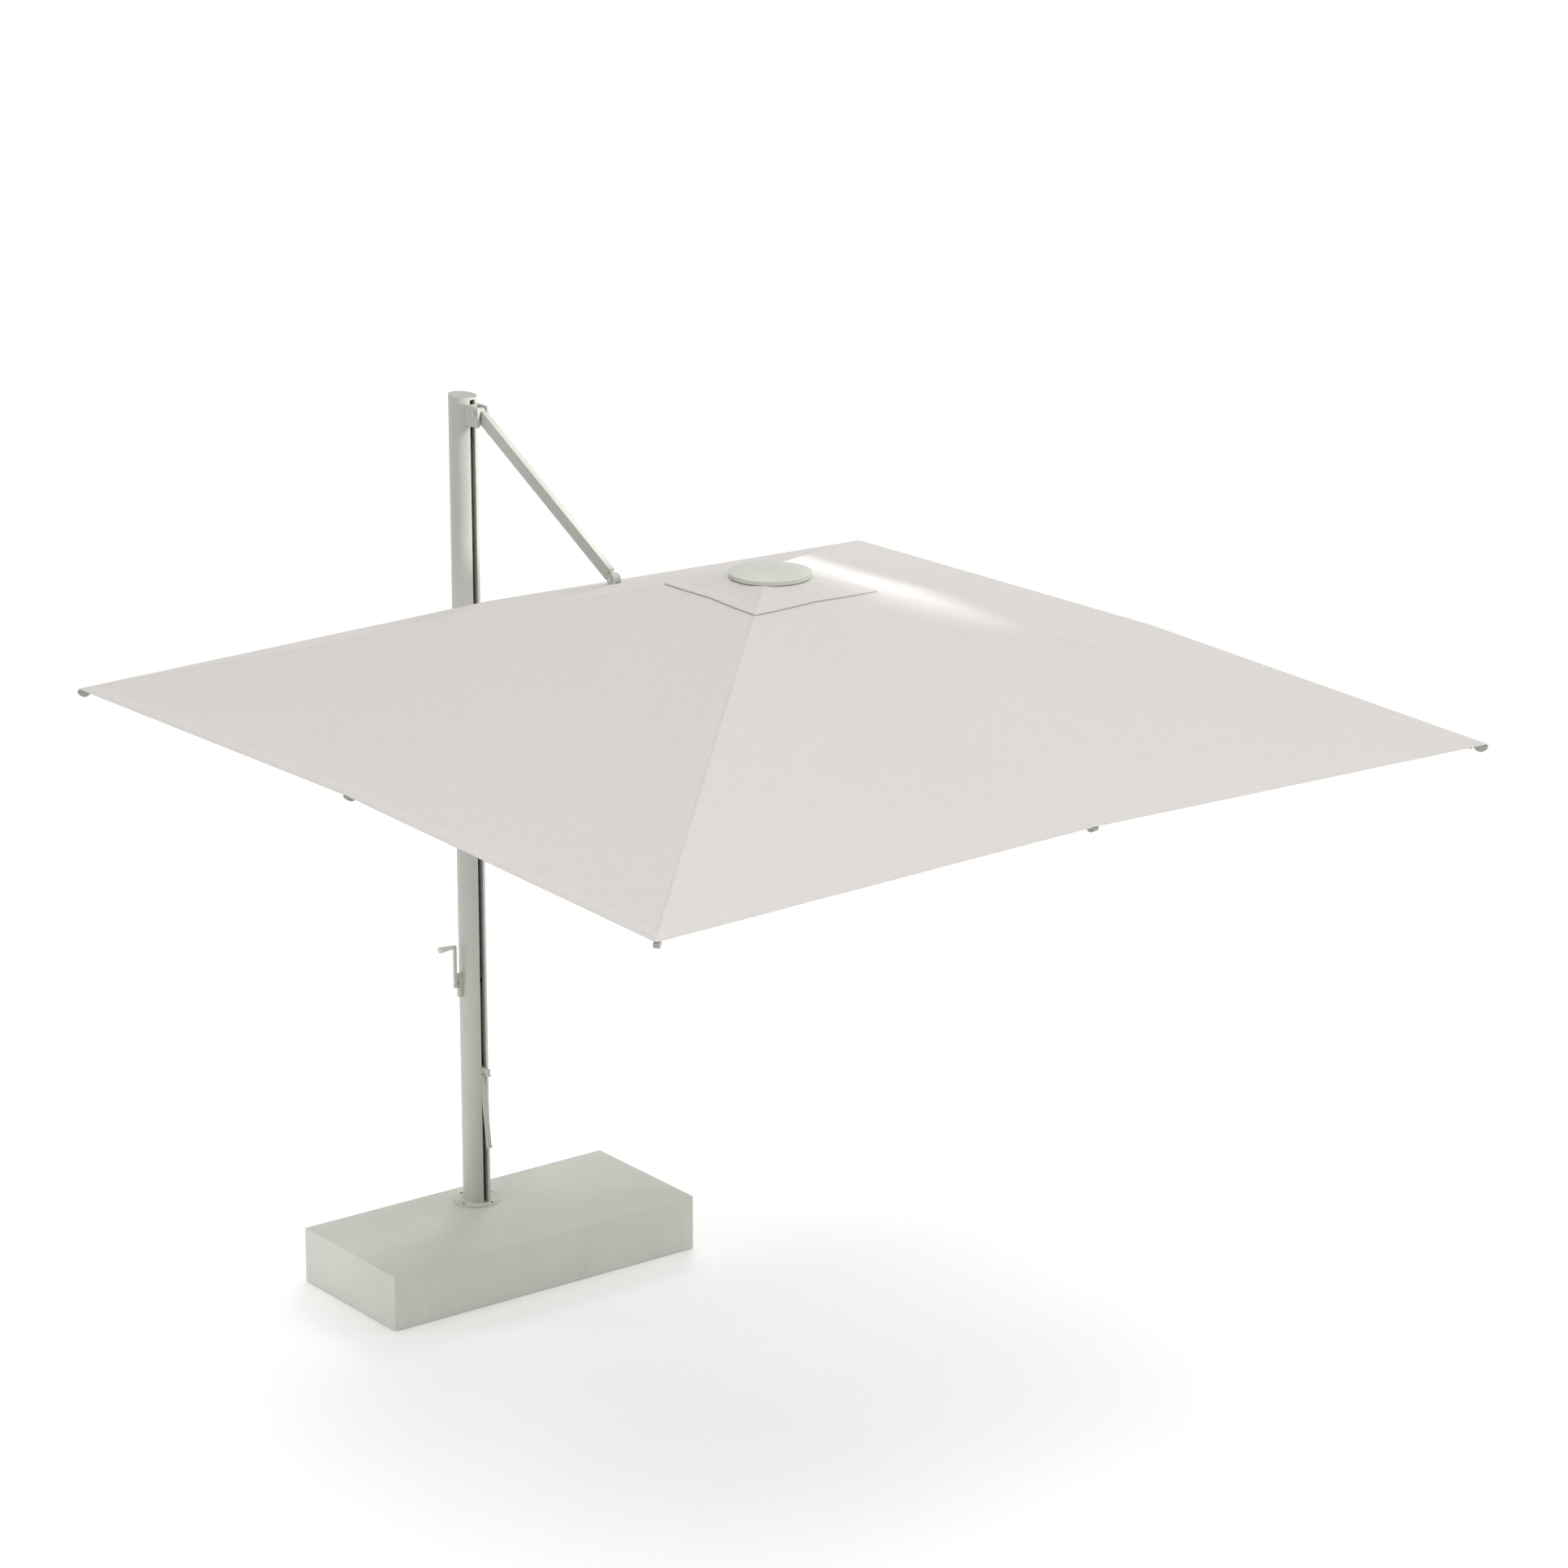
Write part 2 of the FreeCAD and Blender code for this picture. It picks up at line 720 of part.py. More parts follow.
def make_strut():
    """From the mast's top bracket down to the lug that stands through the canopy."""
    where = (("link_front", "0", "top_pivot_height"), sloped_down(SIZE["strut_slope"]))
    section = ("strut_depth", "strut_width", "strut_wall")
    neck = "strut_width / 2 - strut_wall - plug_clearance"
    tube = square_tube(*section, "strut_gap + 0.5", "link_length - strut_gap - 0.5")
    ends = group(
        tube_end(*section, "0", "+", "boss_radius", "cheek_inner - 0.4", neck, "strut_gap"),
        tube_end(*section, "link_length", "-", "boss_radius", "lug_inner - 0.3", neck, "strut_gap"),
    )
    part("strut_tube", place(tube, *where))
    part("strut_ends", place(ends, *where))


def headed_pin(x, z, half_length):
    """A pin along Y with a flat head on each end, outside what it holds."""
    heads = [
        rod("pin_head", (x, start, z), "pin_head_height", ALONG_Y)
        for start in (f"{half_length} + 0.2", f"-({half_length}) - 0.2 - pin_head_height")
    ]
    return join(cross_rod("pin_radius", x, z, f"{half_length} + pin_head_height"), *heads)


def make_arm():
    """The arm under the canopy, from the carriage to the hub, with the strut's lug on top."""
    where = (("link_front", "0", "carriage_height"), sloped_down(-SIZE["arm_slope"]))
    section = ("arm_depth", "arm_width", "arm_wall")
    prop_way = cross_rod("pin_bore", "prop_along", "prop_off_axis", "arm_width")
    tube = cut(square_tube(*section, "arm_gap", "arm_length - arm_gap"), prop_way)
    neck = "ear_inner - 0.4"
    mouth = "arm_gap - 19"
    ends = group(
        tube_end(*section, "0", "+", "boss_radius", neck, neck, mouth),
        tube_end(*section, "arm_length", "-", "boss_radius", "hub_cheek_inner - 0.4", neck, mouth),
    )

    plates = []
    for side in (("lug_inner", "lug_outer"), ("-lug_outer", "-lug_inner")):
        sides = ("lug_along - boss_radius", "lug_along + boss_radius")
        eye = ("lug_along", side[0], "lug_rise")
        plates.append(block(sides, side, ("arm_depth / 2", "lug_rise")))
        plates.append(rod("boss_radius", eye, "lug_outer - lug_inner", ALONG_Y))
    foot = beam(
        ("lug_along - lug_foot_reach", "lug_along + lug_foot_reach"),
        "arm_width / 2",
        ("arm_depth / 2", "arm_depth / 2 + lug_foot_height"),
    )
    lug = cut(join(foot, *plates), cross_rod("pin_bore", "lug_along", "lug_rise", "lug_outer + 1"))

    pins = group(
        headed_pin("0", "0", "ear_outer"),
        headed_pin("lug_along", "lug_rise", "lug_outer"),
        headed_pin("prop_along", "prop_off_axis", "prop_outer"),
        headed_pin("arm_length", "0", "hub_cheek_outer"),
    )
    for label, shape in {"arm_tube": tube, "arm_ends": ends, "arm_lug": lug, "arm_pins": pins}.items():
        part(label, place(shape, *where))


def make_rear_prop():
    """Two strips beside the arm, level with the hub, that carry the rear rib on a riveted collar."""
    height = "prop_high - prop_low"
    sides = (("prop_inner", "prop_outer"), ("-prop_outer", "-prop_inner"))
    strips = []
    for side in sides:
        strips.append(block(("-prop_half_width", "prop_half_width"), side, ("0", height)))
        for level in ("0", height):
            strips.append(rod("prop_half_width", ("0", side[0], level), "prop_outer - prop_inner", ALONG_Y))
    collar_start = "rib_width / 2 + 0.4"
    collars = [
        rod("prop_collar", ("0", start, height), f"prop_inner - ({collar_start}) + 1", ALONG_Y)
        for start in (collar_start, "-prop_inner - 1")
    ]
    rivet = cross_rod("small_pin", "0", height, "prop_outer")
    prop = cut(join(*strips, *collars, rivet), cross_rod("pin_bore", "0", "0", "prop_outer + 1"))
    part("rear_prop", place(prop, ("prop_front", "0", "prop_low")))


def make_carriage():
    """The block that slides in the mast and holds the arm's lower end in front of the slot."""
    where = (("0", "0", "carriage_height"), ALONG_Z)
    half = "carriage_half_height"
    core = beam(("carriage_rear", "carriage_front"), "carriage_side", (f"-{half}", half))
    neck_x = ("carriage_front - 1", "mast_depth + face_front")
    neck = beam(neck_x, "neck_side", (f"-{half} + 10", f"{half} - 10"))
    face = beam(
        ("mast_depth + face_rear", "mast_depth + face_front"),
        "ear_outer",
        ("-face_half_height", "face_half_height"),
    )
    ears = []
    for side in (("ear_inner", "ear_outer"), ("-ear_outer", "-ear_inner")):
        ear_x = ("mast_depth + face_front - 1", "link_front")
        ears.append(block(ear_x, side, ("-ear_half_height", "ear_half_height")))
        ears.append(rod("ear_half_height", ("link_front", side[0], "0"), "ear_outer - ear_inner", ALONG_Y))
    rope_start = ("winch_back + pulley_rope_radius", "0", f"-{half} - 1")
    rope_way = rod("rope_groove + 0.1", rope_start, f"2 * {half} + 2")
    pin_way = cross_rod("pin_bore", "link_front", "0", "ear_outer + 1")
    part("carriage", place(cut(join(core, neck, face, *ears), rope_way, pin_way), *where))

    glides = [
        block(
            ("carriage_front", "carriage_front + glide_depth"),
            side,
            (f"{level} - glide_half_height", f"{level} + glide_half_height"),
        )
        for side in (("slot_half + 0.5", "carriage_side - 3"), ("3 - carriage_side", "-slot_half - 0.5"))
        for level in (f"{half} - glide_inset", f"glide_inset - {half}")
    ]
    part("carriage_glides", place(group(*glides), *where))


def turned_about_hub(thing, angle, radius="0", height="0", turn=ALONG_Z):
    """Places a piece drawn along +X at a radius from the hub's axis, in the direction of angle."""
    start = (f"hub_axis + {radius} * cos({angle})", f"{radius} * sin({angle})", height)
    return place(thing, start, Rotation(Vector(0, 0, 1), angle) * turn)


def make_hub():
    """The slotted crown that holds the ribs, its cheeks for the arm, the post and the top disc."""
    crown = rod("hub_radius", ("hub_axis", "0", "hub_bottom"), "hub_top - hub_bottom")
    cheeks = []
    cheek_x = ("hub_pivot_front - boss_radius", "hub_pivot_front + boss_radius")
    for side in (("hub_cheek_inner", "hub_cheek_outer"), ("-hub_cheek_outer", "-hub_cheek_inner")):
        cheeks.append(block(cheek_x, side, ("hub_pivot_height", "hub_bottom + 1")))
        pivot = ("hub_pivot_front", side[0], "hub_pivot_height")
        cheeks.append(rod("boss_radius", pivot, "hub_cheek_outer - hub_cheek_inner", ALONG_Y))
    slots, bores, pins = [], [], []
    pin_half = "rib_width / 2 + 7"
    slot_half = "rib_width / 2 + rib_clearance"
    for angle in RIBS.values():
        slot = beam(("hub_slot_root", "hub_radius + 5"), slot_half, ("hub_bottom - 1", "hub_top + 1"))
        slots.append(turned_about_hub(group(slot), angle))
        kinds = (("small_bore", f"{pin_half} + 0.5", bores), ("small_pin", pin_half, pins))
        for radius, half, store in kinds:
            pin = rod(radius, ("0", "0", "0"), f"2 * ({half})")
            place(
                pin,
                (
                    f"hub_axis + hinge_radius * cos({angle}) + ({half}) * sin({angle})",
                    f"hinge_radius * sin({angle}) - ({half}) * cos({angle})",
                    "hinge_height",
                ),
                Rotation(Vector(0, 0, 1), angle) * ALONG_Y,
            )
            store.append(pin)
    post_way = rod("post_bore", ("hub_axis", "0", "hub_bottom - 1"), "post_top - hub_bottom + 1")
    stud_way = rod("stud_bore", ("hub_axis", "0", "hub_bottom"), "hub_top - hub_bottom + 1")
    arm_way = cross_rod("pin_bore", "hub_pivot_front", "hub_pivot_height", "hub_cheek_outer + 1")
    part("hub", cut(join(crown, *cheeks), *slots, *bores, post_way, stud_way, arm_way))
    part("rib_pins", group(*pins))

    post = cut(
        rod("post_radius", ("hub_axis", "0", "post_bottom"), "post_top - post_bottom"),
        rod("post_radius - post_wall", ("hub_axis", "0", "post_bottom + 3"), "post_top - post_bottom"),
    )
    part("centre_post", post)

    ball = doc.addObject("Part::Sphere", "Dome")
    bind(ball, Radius="dome_radius")
    place(ball, ("hub_axis", "0", "disc_top - dome_radius"))
    plate = rod("disc_radius", ("hub_axis", "0", "disc_underside"), "disc_top - disc_underside + 1")
    hollow = rod("disc_radius - disc_wall", ("hub_axis", "0", "disc_underside - 1"), "disc_recess + 1")
    centre = rod("disc_centre", ("hub_axis", "0", "disc_underside"), "disc_recess + 2")
    thread = rod("stud_bore", ("hub_axis", "0", "disc_underside - 1"), "disc_recess + 4")
    part("cap_disc", join(cut(overlap(ball, plate), hollow), cut(centre, thread)))
    stud = rod("stud_radius", ("hub_axis", "0", "hub_top - 6"), "disc_underside - hub_top + 10")
    spacer = rod("stud_spacer", ("hub_axis", "0", "hub_top"), "disc_underside - hub_top")
    part("cap_stud", join(stud, spacer))


def rib_kind(angle):
    return "corner" if angle % 90 else "middle"


def arc_bar(kind, half_depth, half_width, start, end):
    """A stretch of the rib's bowed outline, drawn along +X from its pivot."""
    middle = (f"{kind}_length / 2", f"{kind}_bow - {kind}_arc")
    ring = cut(
        cross_rod(f"{kind}_arc + {half_depth}", *middle, half_width),
        cross_rod(f"{kind}_arc - ({half_depth})", *middle, f"{half_width} + 1"),
    )
    window = beam((start, end), f"{half_width} + 2", ("-60", f"{kind}_bow + 60"))
    return overlap(ring, window)


def make_ribs():
    for name, angle in RIBS.items():
        kind = rib_kind(angle)
        where = (angle, "hinge_radius", "hinge_height", sloped_down(SIZE[f"{kind}_slope"]))
        skin = join(
            arc_bar(kind, "rib_depth / 2", "rib_width / 2", "0", f"{kind}_length"),
            cross_rod("rib_depth / 2 - 0.4", "0", "0", "rib_width / 2"),
        )
        hollow = arc_bar(
            kind,
            "rib_depth / 2 - rib_wall",
            "rib_width / 2 - rib_wall",
            "20",
            f"{kind}_length + 5",
        )
        held_at = ("prop_joint", "prop_rise") if name == "rear" else (f"{kind}_joint", f"{kind}_rise")
        bores = [
            cross_rod("small_bore", "0", "0", "rib_width"),
            cross_rod("small_bore", *held_at, "rib_width"),
        ]
        part(f"rib_{name}", turned_about_hub(cut(skin, hollow, *bores), *where))

        centre = (f"{kind}_length + tip_radius", "rib_depth / 2 - 2")
        boat = overlap(
            cross_rod("tip_radius", *centre, "tip_width / 2"),
            beam(
                (f"{kind}_length + 0.2", f"{kind}_length + 2 * tip_radius + 1"),
                "tip_width",
                ("-2 * tip_radius", "rib_depth / 2 - 2"),
            ),
        )
        tongue = beam(
            (f"{kind}_length - 25", f"{kind}_length + 8"),
            "rib_width / 2 - rib_wall - plug_clearance",
            ("-rib_depth / 4", "rib_depth / 4"),
        )
        part(f"rib_tip_{name}", turned_about_hub(join(boat, tongue), *where))


def make_stretchers():
    """Paired strips that straddle each rib and hold it up from the runner."""
    inner = "rib_width / 2 + 0.4"
    outer = f"{inner} + stretcher_plate"
    half_depth = "stretcher_depth / 2"
    for name, angle in RIBS.items():
        if name == "rear":
            continue
        kind = rib_kind(angle)
        length = f"{kind}_link"
        plates = [
            block((f"-{length}", "0"), side, (f"-{half_depth}", half_depth))
            for side in ((inner, outer), (f"-({outer})", f"-({inner})"))
        ]
        rounds = [
            rod(half_depth, (x, start, "0"), "stretcher_plate", ALONG_Y)
            for x in ("0", f"-{length}")
            for start in (inner, f"-({outer})")
        ]
        web = beam((f"60 - {length}", "-100"), f"{inner} + 1", (f"-{half_depth}", f"3 - {half_depth}"))
        rivet = cross_rod("small_pin", "0", "0", outer)
        bore = "small_bore" if name == "front" else "open_bore"
        strip = cut(join(*plates, *rounds, web, rivet), cross_rod(bore, f"-{length}", "0", "rib_width"))
        rise = SIZE[f"{kind}_fall"]
        radius = f"hinge_radius + {kind}_link * cos({kind}_fall)"
        height = f"hinge_height - {kind}_link * sin({kind}_fall)"
        part(f"stretcher_{name}", turned_about_hub(strip, angle, f"({radius})", height, sloped_down(-rise)))


def make_runner():
    """Sleeve on the post, with one ear for each stretcher."""
    low, high = "middle_runner_height - runner_end", "corner_runner_height + runner_end"
    sleeve = rod("runner_radius", ("hub_axis", "0", low), f"{high} - ({low})")
    ears, bores, pins = [], [], []
    for name, angle in RIBS.items():
        if name == "rear":
            continue
        height = f"{rib_kind(angle)}_runner_height"
        ear = join(
            beam(("ear_root", "hinge_radius"), "ear_width / 2", ("-ear_radius", "ear_radius")),
            cross_rod("ear_radius", "hinge_radius", "0", "ear_width / 2"),
        )
        ears.append(turned_about_hub(ear, angle, "0", height))
        bore = cross_rod("small_bore", "hinge_radius", "0", "ear_width")
        bores.append(turned_about_hub(group(bore), angle, "0", height))
        pin = cross_rod("small_pin", "hinge_radius", "0", "rib_width / 2 + 4")
        pins.append(turned_about_hub(group(pin), angle, "0", height))
    post_way = rod("runner_bore", ("hub_axis", "0", f"{low} - 1"), f"{high} - ({low}) + 2")
    part("runner", cut(join(sleeve, *ears), *bores, post_way))
    part("runner_pins", group(*pins))


def fabric_height(share, kind):
    """Height of the cloth over a rib, at a share of the way from the centre to the edge."""
    fall, bow = SIZE[f"{kind}_drop"] * share, SIZE[f"{kind}_bow"]
    slope = SIZE["peak_height"] - fall + 4 * bow * share * (1 - share)
    return min(slope, SIZE["crown_height"])


def cloth_shell(label, outer, lift, rings):
    """A thin closed solid: a flat crown, then a roof that is straight between ribs and bowed along them."""
    half, thickness, crown = SIZE["canopy_half"], SIZE["fabric_thickness"], SIZE["crown_half"]
    levels = []
    beyond = [crown + (outer - crown) * step / rings for step in range(rings + 1)]
    for reach in [SIZE["fabric_hole"], *beyond]:
        share = reach / half
        levels.append(
            [
                Vector(
                    SIZE["hub_axis"] + reach * round(math.cos(math.radians(angle))),
                    reach * round(math.sin(math.radians(angle))),
                    fabric_height(share, rib_kind(angle)) + lift,
                )
                for angle in RIBS.values()
            ]
        )
    down = Vector(0, 0, -thickness)
    faces = []

    def triangle(*corners):
        faces.append(Part.Face(Part.makePolygon([*corners, corners[0]])))

    for near, far in zip(levels, levels[1:]):
        for n in range(8):
            m = (n + 1) % 8
            for drop in (Vector(), down):
                triangle(near[n] + drop, far[n] + drop, far[m] + drop)
                triangle(near[n] + drop, far[m] + drop, near[m] + drop)
    for edge in (levels[0], levels[-1]):
        for n in range(8):
            m = (n + 1) % 8
            triangle(edge[n], edge[m], edge[m] + down)
            triangle(edge[n], edge[m] + down, edge[n] + down)
    shell = Part.makeShell(faces)
    solid = Part.makeSolid(shell)
    if solid.Volume < 0:
        solid.reverse()
    thing = doc.addObject("Part::Feature", label)
    thing.Shape = solid
    return thing


def make_cloth():
    """The canopy with its slit round the lug, and the vent flap over its centre."""
    canopy = cloth_shell("canopy_sheet", SIZE["canopy_half"], 0, 8)
    slit = beam(("slit_rear", "slit_front"), "slit_half", ("hub_pivot_height - 200", "peak_height"))
    part("canopy", cut(canopy, slit))
    part("vent_flap", cloth_shell("flap_sheet", SIZE["flap_half"], SIZE["flap_lift"], 2))


def check_and_write():
    """Stops on any failed object or bad shape, then writes one STEP file for each sub-part."""
    doc.recompute()
    failed = [item.Name for item in doc.Objects if {"Invalid", "Error"} & set(item.State)]
    if failed:
        raise RuntimeError(f"objects that failed: {failed}")
    bad = [name for name, item in PARTS.items() if item.Shape.isNull() or not item.Shape.isValid()]
    if bad:
        raise RuntimeError(f"sub-parts with a bad shape: {bad}")
    os.makedirs("parts", exist_ok=True)
    for name, item in PARTS.items():
        item.Shape.exportStep(f"parts/{name}.step")
        solids = len(item.Shape.Solids)
        print(f"{name}: {solids} solid(s), {item.Shape.Volume / 1000:.1f} cm3")


make_base()
make_flange()
make_mast()
make_top_bracket()
make_mast_pins()
make_winch()
make_rope()
make_slot_fittings()
make_strut()
make_arm()
make_rear_prop()
make_carriage()
make_hub()
make_ribs()
make_stretchers()
make_runner()
make_cloth()
check_and_write()
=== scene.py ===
"""Looks of the cantilever parasol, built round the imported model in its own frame, in metres.

The cloth is sewn from gores, one for each rib, so that it follows the ribs as they fold: a spine that
lies on the rib and a wing on each side that gathers towards it. At rest they make one taut surface.
"""

import json
import math
import bmesh
import bpy
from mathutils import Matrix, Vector, noise


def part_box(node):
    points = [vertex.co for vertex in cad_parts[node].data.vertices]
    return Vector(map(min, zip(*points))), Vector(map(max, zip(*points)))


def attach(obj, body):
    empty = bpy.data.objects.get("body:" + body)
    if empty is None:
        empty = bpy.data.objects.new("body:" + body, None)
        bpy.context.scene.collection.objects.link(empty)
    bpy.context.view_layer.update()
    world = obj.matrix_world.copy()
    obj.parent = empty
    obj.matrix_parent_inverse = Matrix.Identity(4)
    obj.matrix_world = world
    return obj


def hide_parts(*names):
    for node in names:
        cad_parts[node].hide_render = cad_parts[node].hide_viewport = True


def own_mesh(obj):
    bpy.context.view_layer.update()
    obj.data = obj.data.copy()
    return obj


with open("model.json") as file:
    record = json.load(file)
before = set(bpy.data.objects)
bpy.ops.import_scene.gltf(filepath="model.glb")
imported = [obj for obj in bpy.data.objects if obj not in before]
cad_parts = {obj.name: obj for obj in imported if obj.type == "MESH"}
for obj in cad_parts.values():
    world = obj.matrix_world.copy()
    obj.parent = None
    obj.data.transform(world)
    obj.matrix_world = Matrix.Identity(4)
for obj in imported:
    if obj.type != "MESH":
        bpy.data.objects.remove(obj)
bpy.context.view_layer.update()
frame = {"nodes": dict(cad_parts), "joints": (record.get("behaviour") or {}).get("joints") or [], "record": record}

# ---------------------------------------------------------------- sizes, in metres

HUB = (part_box("centre_post")[0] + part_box("centre_post")[1]) / 2
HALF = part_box("canopy")[1].x - HUB.x
FLAP_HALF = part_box("vent_flap")[1].x - HUB.x

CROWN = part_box("canopy")[1].z  # the cloth is level here, under the disc
PEAK = CROWN + 0.031  # where the slopes would meet
MIDDLE_DROP = 0.429  # from the peak to the hem at the middle ribs
CORNER_DROP = 0.461
MIDDLE_BOW = 0.006  # how far the middle ribs arch above a straight line
CORNER_BOW = 0.004
PANEL_SAG = 0.005
SAG_OUTWARD = 1.6  # above 1 the deepest sag is further out than half way
RIPPLE = 0.0005
RIPPLES_PER_METRE = 6

CLOTH = 0.0008  # thickness
HEM = 0.024  # width
SEAM = 0.007  # half width of the felled seam along a hip
FOLD = 0.0005  # how much the hem and the seams stand out on each side
HEM_RISE = (0.0015, 0.0005)  # run of the cloth's rise on to the hem, inward and outward of its inner edge
EDGE_ROUND = 0.0006
SEAM_LINES = (0.5, 1.35, 1.5)  # where a spine's rows of points are, in half widths of the seam
SMOOTH_UP_TO = 38  # degrees between faces

SPINE = 0.012  # half width of the strip that stays flat on its rib
REAR_SPINE = 0.060  # the rear one also holds the opening for the lug
GORE_START = 0.067  # from the hub's axis
NARROWEST_WING = 0.002  # a wing starts where it is wider than this
WING_STRIPS = 14
CANOPY_ROWS = 60
FLAP_ROWS = 8
FLAP_LIFT = 0.002

LUG_NEAR = HUB.x - 0.858  # the opening round the strut's lug, from the hub's axis
LUG_FAR = HUB.x - 0.804
LUG_HALF = 0.018
LUG_BORDER = 0.04
LIP_RUN = 0.082  # how much further out the lug comes to be under the cloth when the parasol is closed
LIP_GAP = 0.0004  # half the gap between the lips
LIP_ROWS = 6
LIP_STRIPS = 4
ROW_APART = 0.008  # rows of points keep this far from the opening's ends

PATCH_RADIUS = 0.100
PATCH_HOLE = 0.018
PATCH_RINGS = 5
PATCH_SIDES = 48

FLOOR_REACH = 60.0
FLOOR_LEVEL = -0.0005
FLOOR_GLOW = 0.120
SKY_STRENGTH = 0.22
FAR = 10.0  # how far off the parallel lights are put; it makes no difference to them

CAMERA_PLACE = (13.842, -9.169, 6.710)
CAMERA_AZIMUTH = 52.95  # degrees
CAMERA_ELEVATION = 17.03
LENS = 122.47  # millimetres, as is the sensor's width
SENSOR_WIDTH = 36.0
CLIP_END = 200.0


def rib_list():
    """Each rib's name, joint, body, outward direction and kind, from the frame's joints."""
    found = []
    for joint in frame["joints"]:
        name = joint["name"]
        if name.startswith("rib_") and name.endswith("_fold"):
            axis = joint["axis"]
            out = Vector((axis[1], -axis[0], 0))
            body = joint["child"]
            kind = "corner" if min(abs(out.x), abs(out.y)) > 0.1 else "middle"
            rib = {"name": body.removeprefix("rib_"), "joint": name, "body": body, "out": out, "kind": kind}
            found.append(rib)
    return found


RIBS = rib_list()

# ---------------------------------------------------------------- node materials


class Nodes:
    """A material's node tree, with short calls for the nodes that the materials here share."""

    def __init__(self, name):
        self.material = bpy.data.materials.new(name)
        self.material.use_nodes = True
        self.tree = self.material.node_tree
        self.shader = self.tree.nodes["Principled BSDF"]

    def add(self, kind, settings=None, **inputs):
        """A new node. An input is given by its name, or as _0, _1 and so on by its number."""
        item = self.tree.nodes.new(kind)
        for key, value in (settings or {}).items():
            setattr(item, key, value)
        for key, value in inputs.items():
            self.feed(item.inputs[int(key[1:]) if key[0] == "_" else key], value)
        return item

    def feed(self, socket, value):
        if isinstance(value, bpy.types.NodeSocket):
            self.tree.links.new(value, socket)
        else:
            socket.default_value = value

    def set(self, **inputs):
        """Sets the shader's own sockets; an underscore stands for a space in the name."""
        for key, value in inputs.items():
            self.feed(self.shader.inputs[key.replace("_", " ")], value)

    def maths(self, operation, a, b=0.0, c=0.0):
        item = self.add("ShaderNodeMath", {"operation": operation}, _0=a, _1=b, _2=c)
        return item.outputs[0]

    def noise(self, where, scale, detail=2.0, roughness=0.5):
        inputs = {"Vector": where, "Scale": scale, "Detail": detail, "Roughness": roughness}
        return self.add("ShaderNodeTexNoise", None, **inputs).outputs["Fac"]

    def stretched(self, where, scale):
        return self.add("ShaderNodeMapping", None, Vector=where, Scale=scale).outputs[0]

    def spread(self, value, low, high, new_low=0.0, new_high=1.0):
        """Maps low..high of a value onto new_low..new_high, clamped."""
        ends = {"_1": low, "_2": high, "_3": new_low, "_4": new_high}
        return self.add("ShaderNodeMapRange", None, _0=value, **ends).outputs[0]

    def mix(self, factor, a, b):
        item = self.add("ShaderNodeMix", {"data_type": "RGBA"}, _0=factor, _6=a, _7=b)
        return item.outputs[2]

    def bump(self, height, distance):
        item = self.add("ShaderNodeBump", None, Height=height, Distance=distance, Strength=1.0)
        return item.outputs[0]

    def place(self):
        return self.add("ShaderNodeTexCoord").outputs["Object"]

    def edges(self, radius):
        """1 on convex and concave edges, 0 on flats."""
        rounded = self.add("ShaderNodeBevel", {"samples": 4}, Radius=radius).outputs[0]
        flat = self.add("ShaderNodeNewGeometry").outputs["Normal"]
        agree = self.add("ShaderNodeVectorMath", {"operation": "DOT_PRODUCT"}, _0=rounded, _1=flat)
        return self.spread(agree.outputs["Value"], 0.995, 0.80)


WEAVE_PITCH = 0.0012
STITCH_PITCH = 0.0042
STITCH_INSET = 0.003  # from the hem's edges
COAT = (0.515, 0.515, 0.469)
CLOTH_COLOUR = (0.625, 0.594, 0.568)
FLOOR_COLOUR = (0.93, 0.93, 0.93, 1.0)
WHITE = (1.0, 1.0, 1.0, 1.0)
WORN_COAT = (0.86, 0.86, 0.84, 1.0)
WORN_PLASTIC = (0.8, 0.8, 0.78, 1.0)
BRAID_TURNS = 4.0  # strands of each hand round the cord


def shade(colour, factor):
    """A colour made lighter or darker, with an alpha of 1."""
    return (*[channel * factor for channel in colour], 1.0)


def coated(name, colour, roughness=0.42, wear=0.30, streak=0.05):
    """Powder coat: a fine orange peel, cloudy colour, faint run-off streaks and paler worn edges."""
    nodes = Nodes(name)
    where = nodes.place()
    cloud = nodes.noise(where, 5.0, 4.0)
    speckle = nodes.noise(where, 1400.0, 1.0)
    runs = nodes.noise(nodes.stretched(where, (40.0, 40.0, 1.2)), 1.0, 3.0)
    tone = nodes.mix(nodes.spread(cloud, 0.3, 0.7), shade(colour, 0.965), shade(colour, 1.03))
    tone = nodes.mix(nodes.spread(runs, 0.52, 0.75, 0.0, streak), tone, shade(colour, 0.55))
    tone = nodes.mix(nodes.spread(speckle, 0.60, 0.72, 0.0, 0.10), tone, shade(colour, 0.7))
    patchy = nodes.spread(nodes.noise(where, 90.0, 3.0), 0.45, 0.62)
    broken = nodes.maths("MULTIPLY", nodes.edges(0.0015), patchy)
    tone = nodes.mix(nodes.maths("MULTIPLY", broken, wear), tone, WORN_COAT)
    rough = nodes.spread(cloud, 0.3, 0.7, roughness - 0.05, roughness + 0.07)
    peel = nodes.noise(where, 650.0, 2.0)
    nodes.set(Base_Color=tone, Roughness=rough, Metallic=0.0, Normal=nodes.bump(peel, 0.00012))
    nodes.set(Coat_Weight=0.12, Coat_Roughness=0.3)
    return nodes.material


